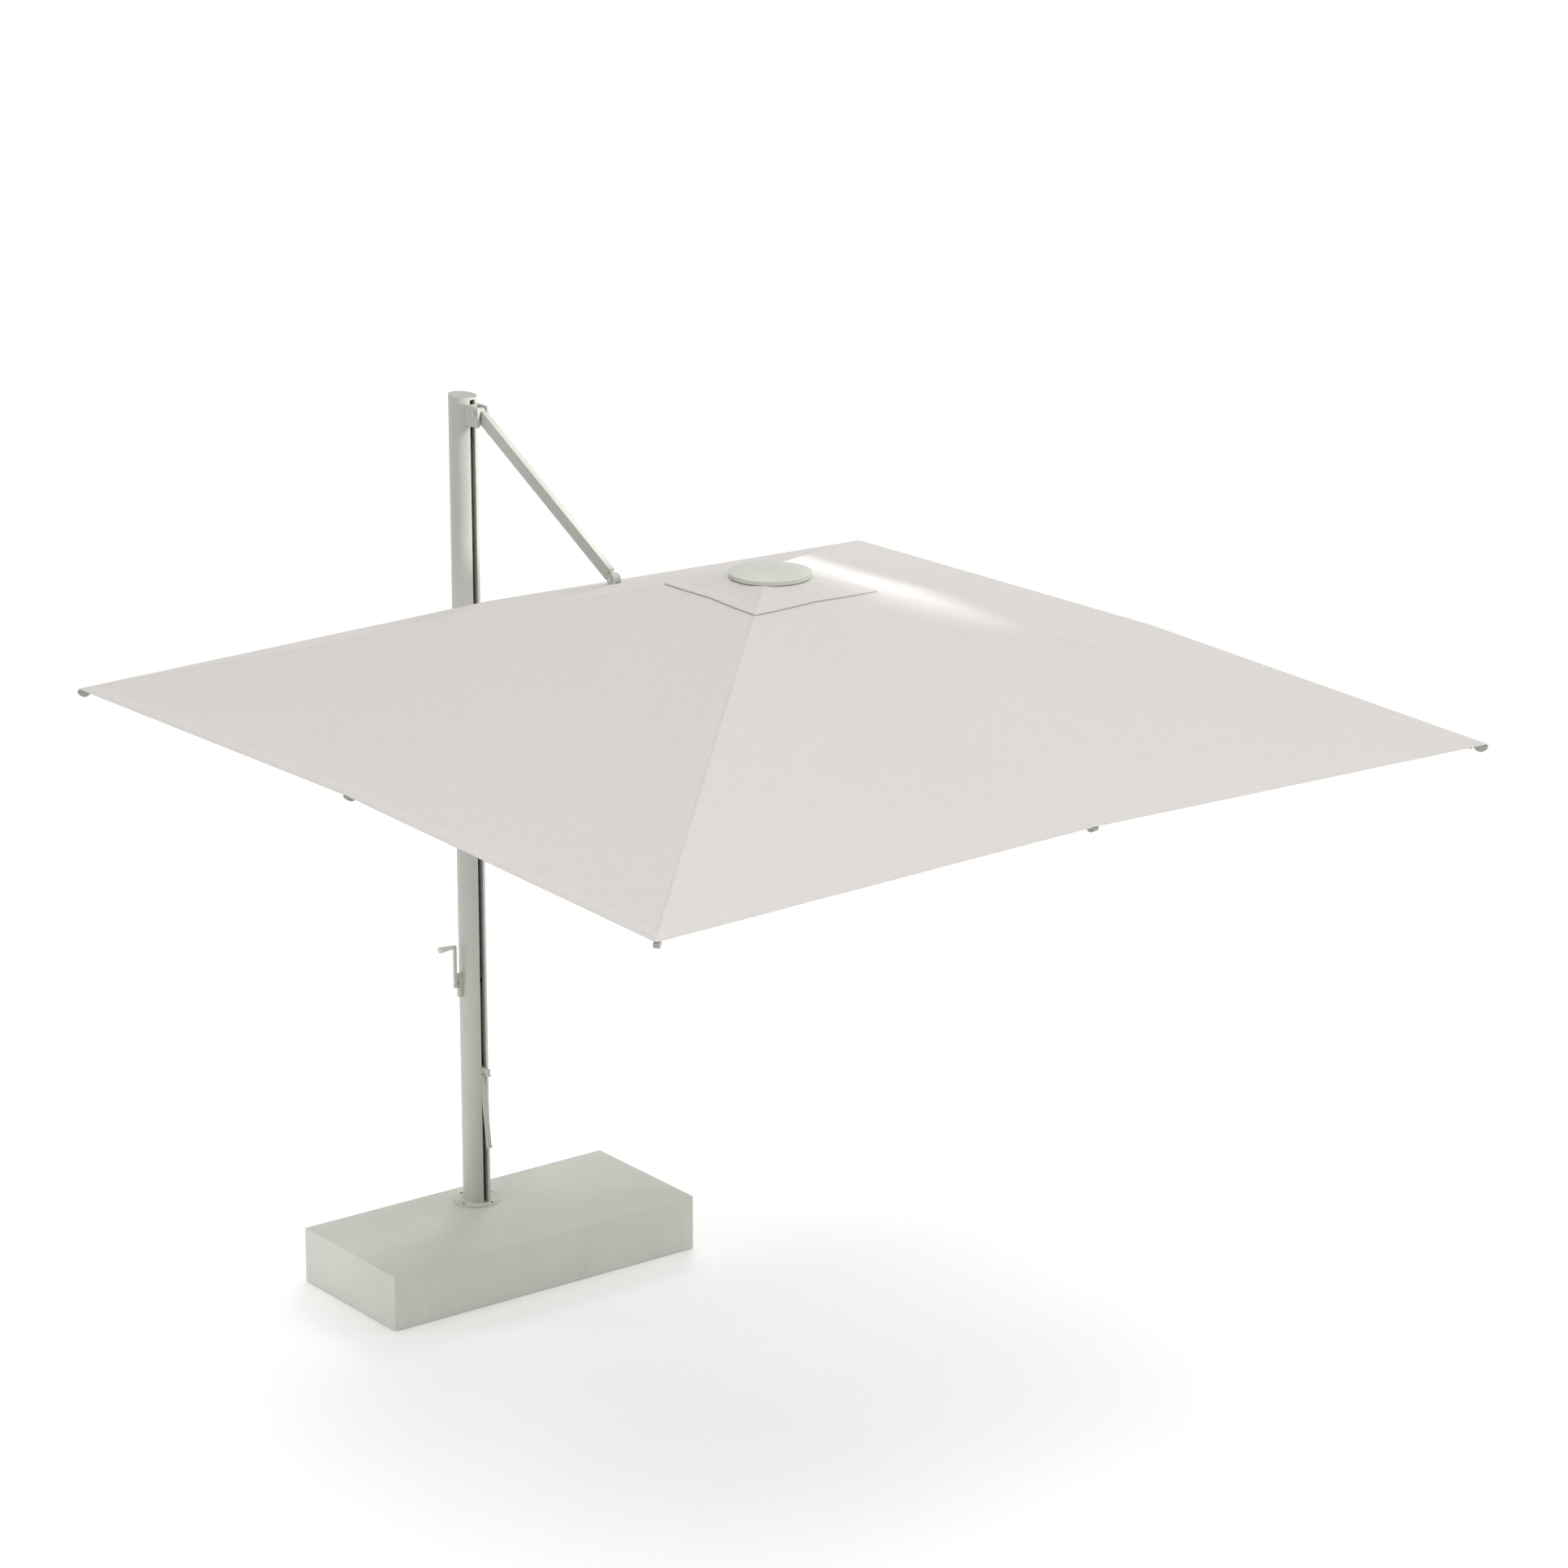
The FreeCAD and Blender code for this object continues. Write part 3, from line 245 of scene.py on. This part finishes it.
def bare_metal(name, colour, roughness=0.32):
    """Zinc-plated steel: fine turned lines and a blotchy passivated tint."""
    nodes = Nodes(name)
    where = nodes.place()
    lines = nodes.noise(nodes.stretched(where, (900.0, 60.0, 900.0)), 1.0, 2.0)
    blotch = nodes.noise(where, 60.0, 3.0)
    tone = nodes.mix(nodes.spread(blotch, 0.35, 0.65), shade(colour, 0.85), shade(colour, 1.08))
    rough = nodes.spread(lines, 0.3, 0.7, roughness - 0.08, roughness + 0.12)
    nodes.set(Base_Color=tone, Roughness=rough, Metallic=0.9, Normal=nodes.bump(lines, 0.00005))
    return nodes.material


def moulded(name, colour, roughness=0.5, wear=0.12):
    """Injection-moulded plastic: spark-eroded grain, slight flow marks and chalky edges."""
    nodes = Nodes(name)
    where = nodes.place()
    flow = nodes.noise(nodes.stretched(where, (6.0, 6.0, 14.0)), 1.0, 3.0)
    pits = nodes.noise(where, 1800.0, 2.0)
    tone = nodes.mix(nodes.spread(flow, 0.3, 0.7), shade(colour, 0.95), shade(colour, 1.05))
    worn = nodes.maths("MULTIPLY", nodes.edges(0.001), wear)
    tone = nodes.mix(worn, tone, WORN_PLASTIC)
    rough = nodes.spread(pits, 0.3, 0.7, roughness - 0.06, roughness + 0.08)
    nodes.set(Base_Color=tone, Roughness=rough, Normal=nodes.bump(pits, 0.0001))
    return nodes.material


def cast_concrete(name, colour):
    """Fine aggregate, open pores and a pale bloom."""
    nodes = Nodes(name)
    where = nodes.place()
    grit = nodes.noise(where, 260.0, 4.0)
    bloom = nodes.noise(where, 9.0, 3.0)
    pores = nodes.add("ShaderNodeTexVoronoi", None, Vector=where, Scale=120.0).outputs["Distance"]
    open_pores = nodes.spread(pores, 0.12, 0.05)
    tone = nodes.mix(nodes.spread(grit, 0.3, 0.7), shade(colour, 0.8), shade(colour, 1.15))
    tone = nodes.mix(nodes.spread(bloom, 0.5, 0.8, 0.0, 0.4), tone, shade(colour, 1.5))
    # The pores are painted darker: painted shade in them.
    tone = nodes.mix(open_pores, tone, shade(colour, 0.4))
    height = nodes.maths("SUBTRACT", grit, open_pores)
    nodes.set(Base_Color=tone, Roughness=0.92, Normal=nodes.bump(height, 0.0006))
    return nodes.material


def braided(name, colour, pitch=0.007):
    """Braided cord that runs along Z: crossing strands as two sets of slanted waves."""
    nodes = Nodes(name)
    apart = nodes.add("ShaderNodeSeparateXYZ", None, _0=nodes.place())
    turn = nodes.maths("ARCTAN2", apart.outputs[1], apart.outputs[0])
    around = nodes.maths("MULTIPLY", turn, BRAID_TURNS)
    along = nodes.maths("MULTIPLY", apart.outputs[2], 2 * math.pi / pitch)
    first = nodes.maths("SINE", nodes.maths("ADD", along, around))
    second = nodes.maths("SINE", nodes.maths("SUBTRACT", along, around))
    strands = nodes.maths("MULTIPLY", nodes.maths("MAXIMUM", first, second), 0.5)
    fuzz = nodes.noise(nodes.place(), 2500.0, 2.0)
    # The grooves between the strands are painted darker and their crests lighter: painted shade and painted
    # highlight.
    tone = nodes.mix(nodes.spread(strands, -0.2, 0.5), shade(colour, 0.6), shade(colour, 1.1))
    tone = nodes.mix(nodes.spread(fuzz, 0.3, 0.7, 0.0, 0.3), tone, shade(colour, 1.4))
    nodes.set(Base_Color=tone, Roughness=0.85, Normal=nodes.bump(strands, 0.0005))
    return nodes.material


def woven(name, colour, hem_at, shaded_edge=False):
    """Solution-dyed canopy cloth with its stitches. hem_at is how far the hem is from the hub's axis.

    The UV map is the cloth's own place in metres from the hub's axis.
    """
    nodes = Nodes(name)
    where = nodes.add("ShaderNodeUVMap", {"uv_map": "cloth"}).outputs[0]
    apart = nodes.add("ShaderNodeSeparateXYZ", None, _0=where)
    across = apart.outputs[0]
    up = apart.outputs[1]
    far_x = nodes.maths("ABSOLUTE", across)
    far_y = nodes.maths("ABSOLUTE", up)
    reach = nodes.maths("MAXIMUM", far_x, far_y)
    along = nodes.maths("MINIMUM", far_x, far_y)
    from_hip = nodes.maths("MULTIPLY", nodes.maths("SUBTRACT", reach, along), math.sqrt(0.5))

    thread = 2 * math.pi / WEAVE_PITCH
    warp = nodes.maths("SINE", nodes.maths("MULTIPLY", across, thread))
    weft = nodes.maths("SINE", nodes.maths("MULTIPLY", up, thread))
    weave = nodes.maths("MULTIPLY", warp, weft)
    slub_x = nodes.noise(nodes.stretched(where, (14.0, 520.0, 1.0)), 1.0, 2.0)
    slub_y = nodes.noise(nodes.stretched(where, (520.0, 14.0, 1.0)), 1.0, 2.0)
    slubs = nodes.maths("ADD", slub_x, slub_y)
    melange = nodes.noise(where, 160.0, 3.0, 0.6)
    cloud = nodes.noise(where, 2.5, 3.0)

    def row(distance, at, step):
        """A row of stitches: 1 on the thread, from how far off the line a point is and how far along."""
        off = nodes.maths("ABSOLUTE", nodes.maths("SUBTRACT", distance, at))
        on_line = nodes.spread(off, 0.0007, 0.0004)
        dash = nodes.maths("FRACT", nodes.maths("DIVIDE", step, STITCH_PITCH))
        return nodes.maths("MULTIPLY", on_line, nodes.spread(dash, 0.78, 0.70))

    outer_row = row(reach, hem_at - STITCH_INSET, along)
    inner_row = row(reach, hem_at - HEM + 0.004, along)
    seam_row = row(from_hip, SEAM - 0.002, reach)
    stitches = nodes.maths("MAXIMUM", nodes.maths("MAXIMUM", outer_row, inner_row), seam_row)

    tone = nodes.mix(nodes.spread(slubs, 0.8, 1.2), shade(colour, 0.965), shade(colour, 1.03))
    tone = nodes.mix(nodes.spread(melange, 0.35, 0.65, 0.0, 0.12), tone, shade(colour, 0.86))
    tone = nodes.mix(nodes.spread(cloud, 0.35, 0.65, 0.0, 0.06), tone, shade(colour, 0.9))
    tone = nodes.mix(nodes.maths("MULTIPLY", stitches, 0.6), tone, shade(colour, 1.12))
    # Painted shade: a dark band along the hem's outer edge, where the flap stands over the canopy.
    if shaded_edge:
        edge_shade = nodes.spread(reach, hem_at - 0.0045, hem_at - 0.0035, 0.0, 0.6)
        tone = nodes.mix(edge_shade, tone, shade(colour, 0.5))
    height = nodes.maths("ADD", nodes.maths("MULTIPLY", weave, 0.5), nodes.maths("MULTIPLY", slubs, 0.6))
    height = nodes.maths("ADD", height, nodes.maths("MULTIPLY", stitches, 2.0))
    nodes.set(Base_Color=tone, Roughness=0.88, Normal=nodes.bump(height, 0.00006))
    nodes.set(Sheen_Weight=0.12, Sheen_Roughness=0.5, Specular_IOR_Level=0.25)
    return nodes.material


MATERIALS = {
    "coated_aluminium": coated("coated_aluminium", COAT),
    "coated_steel": coated("coated_steel", (0.618, 0.621, 0.567), roughness=0.5, streak=0.08),
    "zinc_steel": bare_metal("zinc_steel", (0.56, 0.56, 0.55)),
    "black_steel": bare_metal("black_steel", (0.03, 0.03, 0.03), 0.5),
    "concrete": cast_concrete("concrete", (0.38, 0.37, 0.35)),
    "coated_plastic": moulded("coated_plastic", (0.60, 0.625, 0.555), roughness=0.45),
    "tip_plastic": moulded("tip_plastic", (0.34, 0.35, 0.31)),
    "dark_plastic": moulded("dark_plastic", (0.035, 0.035, 0.036), wear=0.05),
    "rope": braided("rope", (0.16, 0.16, 0.15)),
}
CANOPY_CLOTH = woven("canopy_cloth", CLOTH_COLOUR, HALF)
FLAP_CLOTH = woven("flap_cloth", CLOTH_COLOUR, FLAP_HALF, shaded_edge=True)


def dress_cad_nodes():
    """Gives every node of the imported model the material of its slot."""
    slots = {row["node"]: row["material_slot"] for row in frame["record"]["subparts"]}
    for name, item in frame["nodes"].items():
        if slots[name] in MATERIALS:
            item.data.materials.clear()
            item.data.materials.append(MATERIALS[slots[name]])


# ---------------------------------------------------------------- cloth


def roof(x, y):
    """Height of the cloth's top at a place given from the hub's axis."""
    reach = max(abs(x), abs(y))
    share = reach / HALF
    swell = 4 * share * (1 - share)
    middle = PEAK - MIDDLE_DROP * share + MIDDLE_BOW * swell
    corner = PEAK - CORNER_DROP * share + CORNER_BOW * swell
    towards_hip = min(abs(x), abs(y)) / max(reach, 1e-6)
    between_ribs = math.sin(math.pi * towards_hip)
    sag = PANEL_SAG * between_ribs**2 * math.sin(math.pi * min(share, 1.0) ** SAG_OUTWARD)
    ripple_at = Vector((x * RIPPLES_PER_METRE, y * RIPPLES_PER_METRE, 0.5))
    ripple = RIPPLE * noise.noise(ripple_at) * between_ribs
    return min(middle + (corner - middle) * towards_hip, CROWN) - sag + ripple


def stand_out(x, y, half):
    """Extra thickness of the folded hem and of the seam along the hips."""
    reach = max(abs(x), abs(y))
    cross = min(abs(x), abs(y))
    folded = FOLD if reach > half - HEM else 0.0
    felled = FOLD if reach - cross < SEAM * math.sqrt(2) else 0.0
    return max(folded, felled)


def gore_place(rib, reach, offset):
    """Where a point of a gore is, from the hub's axis: reach is towards the hem, offset along it."""
    out = rib["out"]
    if rib["kind"] == "middle":
        return reach * out.x - offset * out.y, reach * out.y + offset * out.x
    corner_x = math.copysign(reach, out.x)
    corner_y = math.copysign(reach, out.y)
    turn_x = (offset > 0) == (out.x * out.y > 0)
    if turn_x:
        return corner_x - math.copysign(abs(offset), out.x), corner_y
    return corner_x, corner_y - math.copysign(abs(offset), out.y)


def everywhere(row, column):
    return True


def cloth_mesh(name, places, lift, half, present=everywhere):
    """A closed thin shell over a grid of places, and its top's area; absent cells leave a hole."""
    shape = bmesh.new()
    uv = shape.loops.layers.uv.new("cloth")
    flat = {}
    layers = []
    for side in (1, -1):
        layer = []
        for row in places:
            line = []
            for x, y in row:
                proud = side * stand_out(x, y, half) - (CLOTH if side < 0 else 0)
                vert = shape.verts.new((HUB.x + x, HUB.y + y, roof(x, y) + lift + proud))
                flat[vert] = (x, y)
                line.append(vert)
            layer.append(line)
        layers.append(layer)
    top, bottom = layers

    rows = len(places) - 1
    columns = len(places[0]) - 1
    cells = {(r, c) for r in range(rows) for c in range(columns) if present(r, c)}
    neighbours = ((0, -1), (1, 0), (0, 1), (-1, 0))
    area = 0.0
    for r, c in sorted(cells):
        ring = ((r, c), (r + 1, c), (r + 1, c + 1), (r, c + 1))
        area += shape.faces.new([top[i][j] for i, j in ring]).calc_area()
        shape.faces.new([bottom[i][j] for i, j in ring])
        for (down, along), (i, j), (k, m) in zip(neighbours, ring, ring[1:] + ring[:1]):
            if (r + down, c + along) not in cells:
                shape.faces.new((top[i][j], top[k][m], bottom[k][m], bottom[i][j]))
    for vert in [vert for vert in shape.verts if not vert.link_faces]:
        shape.verts.remove(vert)
    bmesh.ops.recalc_face_normals(shape, faces=shape.faces)
    for face in shape.faces:
        face.smooth = True
        for loop in face.loops:
            loop[uv].uv = flat[loop.vert]
    mesh = bpy.data.meshes.new(name)
    shape.to_mesh(mesh)
    shape.free()
    mesh.set_sharp_from_angle(angle=math.radians(SMOOTH_UP_TO))
    return place_in_scene(name, mesh), area


def place_in_scene(name, data):
    """A new object in the scene for a mesh, lamp or camera."""
    item = bpy.data.objects.new(name, data)
    bpy.context.scene.collection.objects.link(item)
    return item


def steps(start, end, count):
    """Evenly spaced values from start to end, both included."""
    return [start + (end - start) * n / count for n in range(count + 1)]


def declare_cloth(item, rib, node, cloth):
    """Gives the piece its cloth, rides it on its rib and hides the model's own cloth node."""
    item.data.materials.append(cloth)
    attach(item, rib["body"])
    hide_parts(node)


def lug_opening(reaches, offsets, opening):
    """Says of each cell of a spine's grid whether it is cloth or in the opening for the lug."""
    near, far = opening

    def present(row, column):
        in_run = near - 1e-6 < reaches[row] < far - 1e-6
        in_width = offsets[column] >= -LUG_HALF and offsets[column + 1] <= LUG_HALF
        return not (in_run and in_width)

    return present


def make_spine(name, rib, reaches, offsets, lift, half, present):
    """The strip along a rib, narrowed where the neighbouring gores meet near the hub."""
    grid = []
    for reach in reaches:
        limit = reach / 2
        grid.append([gore_place(rib, reach, max(-limit, min(limit, offset))) for offset in offsets])
    return cloth_mesh(f"{name}_spine", grid, lift, half, present)


def make_gores(label, node, cloth, half, lift, row_count):
    """A spine and two wings of cloth for every rib."""
    inward, outward = HEM_RISE
    hem_start = half - HEM
    plain_reaches = steps(GORE_START, hem_start - inward, row_count)
    plain_reaches += [hem_start + outward, half - HEM / 2, half - EDGE_ROUND, half]
    seam = [SEAM * share for share in SEAM_LINES]
    for rib in RIBS:
        name = f"{label}_{rib['name']}"
        spine = REAR_SPINE if rib["name"] == "rear" else SPINE
        reaches = plain_reaches
        offsets = [-spine, *[-offset for offset in reversed(seam)], 0.0, *seam, spine]
        present = everywhere
        if rib["name"] == "rear" and half == HALF:
            opening = (LUG_NEAR, LUG_FAR + LIP_RUN)
            apart = [reach for reach in reaches if all(abs(reach - end) > ROW_APART for end in opening)]
            reaches = sorted([*apart, *opening])
            offsets = [-spine, -LUG_BORDER, -LUG_HALF, 0.0, LUG_HALF, LUG_BORDER, spine]
            present = lug_opening(reaches, offsets, opening)
        item, area = make_spine(name, rib, reaches, offsets, lift, half, present)
        declare_cloth(item, rib, node, cloth)

        for side, word in ((1, "left"), (-1, "right")):
            grid = []
            for reach in reaches:
                if reach / 2 > spine + NARROWEST_WING:
                    widths = steps(spine, reach / 2, WING_STRIPS)
                    grid.append([gore_place(rib, reach, side * width) for width in widths])
            item, area = cloth_mesh(f"{name}_{word}_wing", grid, lift, half)
            declare_cloth(item, rib, node, cloth)
            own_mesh(item)


def make_slit_lips():
    """The two lips of the slit behind the lug, which part as the lug slides along it."""
    rib = next(rib for rib in RIBS if rib["name"] == "rear")
    reaches = steps(LUG_FAR, LUG_FAR + LIP_RUN, LIP_ROWS)
    widths = steps(LIP_GAP, LUG_HALF, LIP_STRIPS)
    for side, word in ((1, "left"), (-1, "right")):
        grid = [[gore_place(rib, reach, side * width) for width in widths] for reach in reaches]
        item, area = cloth_mesh(f"slit_lip_{word}", grid, 0.0, HALF)
        declare_cloth(item, rib, "canopy", CANOPY_CLOTH)
        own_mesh(item)


def make_crown_patch():
    """The round patch that closes the gores' inner ends, under the disc."""
    turns = steps(0.0, 2 * math.pi, PATCH_SIDES)
    rings = steps(PATCH_HOLE, PATCH_RADIUS, PATCH_RINGS)
    places = [[(ring * math.cos(turn), ring * math.sin(turn)) for turn in turns] for ring in rings]
    item, area = cloth_mesh("crown_patch", places, FLAP_LIFT + 2 * CLOTH, HALF)
    join_ends(item)
    item.data.materials.append(CANOPY_CLOTH)
    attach(item, "hub")
    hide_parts("vent_flap")


def join_ends(item):
    """Joins the first and last columns of a grid that goes once round, and takes out their walls."""
    shape = bmesh.new()
    shape.from_mesh(item.data)
    bmesh.ops.remove_doubles(shape, verts=shape.verts, dist=1e-5)
    doubled = [face for face in shape.faces if any(len(edge.link_faces) > 2 for edge in face.edges)]
    walls = [face for face in doubled if abs(face.normal.z) < 0.3]
    bmesh.ops.delete(shape, geom=walls, context="FACES_ONLY")
    shape.to_mesh(item.data)
    shape.free()


# ---------------------------------------------------------------- studio


def aim(item, target):
    item.rotation_euler = (Vector(target) - item.location).to_track_quat("-Z", "Y").to_euler()


def softbox(name, location, target, size, power, mirrored=True, spread=180):
    """A round soft light; one that isn't mirrored gives no shine on glossy faces. spread is in degrees."""
    lamp = bpy.data.lights.new(name, "AREA")
    lamp.shape = "DISK"
    lamp.size = size
    lamp.energy = power
    lamp.spread = math.radians(spread)
    item = place_in_scene(name, lamp)
    item.location = location
    item.visible_glossy = mirrored
    aim(item, target)


def far_light(name, tilt, bearing, spread, strength, mirrored=True):
    """A soft parallel light: tilt from straight overhead, bearing round Z from +X, all in degrees."""
    lamp = bpy.data.lights.new(name, "SUN")
    lamp.angle = math.radians(spread)
    lamp.energy = strength
    lean = math.radians(tilt)
    turn = math.radians(bearing)
    towards = Vector((math.sin(lean) * math.cos(turn), math.sin(lean) * math.sin(turn), math.cos(lean)))
    item = place_in_scene(name, lamp)
    item.location = FAR * towards
    item.visible_glossy = mirrored
    item.rotation_euler = towards.to_track_quat("Z", "Y").to_euler()


def spot(name, location, target, cone, power):
    """A small lamp with a soft-edged cone, in degrees."""
    lamp = bpy.data.lights.new(name, "SPOT")
    lamp.energy = power
    lamp.spot_size = math.radians(cone)
    lamp.spot_blend = 0.7
    lamp.shadow_soft_size = 0.15
    item = place_in_scene(name, lamp)
    item.location = location
    aim(item, target)


def make_floor():
    signs = ((-1, -1), (1, -1), (1, 1), (-1, 1))
    corners = [(x * FLOOR_REACH, y * FLOOR_REACH, FLOOR_LEVEL) for x, y in signs]
    mesh = bpy.data.meshes.new("floor")
    mesh.from_pydata(corners, [], [(0, 1, 2, 3)])
    floor = place_in_scene("floor", mesh)
    nodes = Nodes("floor")
    nodes.set(Base_Color=FLOOR_COLOUR, Roughness=0.9, Specular_IOR_Level=0.1)
    nodes.set(Emission_Color=WHITE, Emission_Strength=FLOOR_GLOW)
    floor.data.materials.append(nodes.material)


def make_lights():
    """An even pale sky, four soft lights, four broad parallel ones and a spot on the top of the mast."""
    world = bpy.data.worlds.new("studio")
    bpy.context.scene.world = world
    world.use_nodes = True
    sky = world.node_tree.nodes["Background"]
    sky.inputs["Color"].default_value = WHITE
    sky.inputs["Strength"].default_value = SKY_STRENGTH

    softbox("front", (2.2, -6.0, 5.5), (1.7, -1.0, 2.4), 2.5, 64.0)
    softbox("low", (-3.0, -5.0, 1.0), (0.0, -0.4, 0.0), 2.0, 4.4, spread=36)
    softbox("back", (-4.0, 4.0, 5.0), (0.3, 0.6, 2.5), 2.5, 96.0, mirrored=False)
    softbox("side", (7.5, 0.5, 4.5), (3.0, 0.0, 2.4), 2.5, 60.0)
    far_light("top", 0, 0, 50, 0.588)
    far_light("top_front", 12, -45, 50, 0.991)
    far_light("side_back", 50, 60, 60, 0.938)
    far_light("rear", 55, 150, 60, 0.468, mirrored=False)
    spot("mast_side", (3.6, 0.9, 3.05), (0.05, 0.0, 2.62), 17, 520.0)


def make_camera():
    camera = bpy.data.cameras.new("camera")
    camera.lens = LENS
    camera.sensor_width = SENSOR_WIDTH
    camera.clip_end = CLIP_END
    azimuth = math.radians(CAMERA_AZIMUTH)
    elevation = math.radians(CAMERA_ELEVATION)
    level = math.cos(elevation)
    forward = Vector((-math.sin(azimuth) * level, math.cos(azimuth) * level, -math.sin(elevation)))
    item = place_in_scene("camera", camera)
    item.location = CAMERA_PLACE
    item.rotation_mode = "QUATERNION"
    item.rotation_quaternion = forward.to_track_quat("-Z", "Y")
    bpy.context.scene.camera = item


bpy.context.scene.view_settings.view_transform = "Standard"
make_camera()
make_floor()
make_lights()
dress_cad_nodes()
make_gores("canopy", "canopy", CANOPY_CLOTH, HALF, 0.0, CANOPY_ROWS)
make_gores("flap", "vent_flap", FLAP_CLOTH, FLAP_HALF, FLAP_LIFT, FLAP_ROWS)
make_slit_lips()
make_crown_patch()
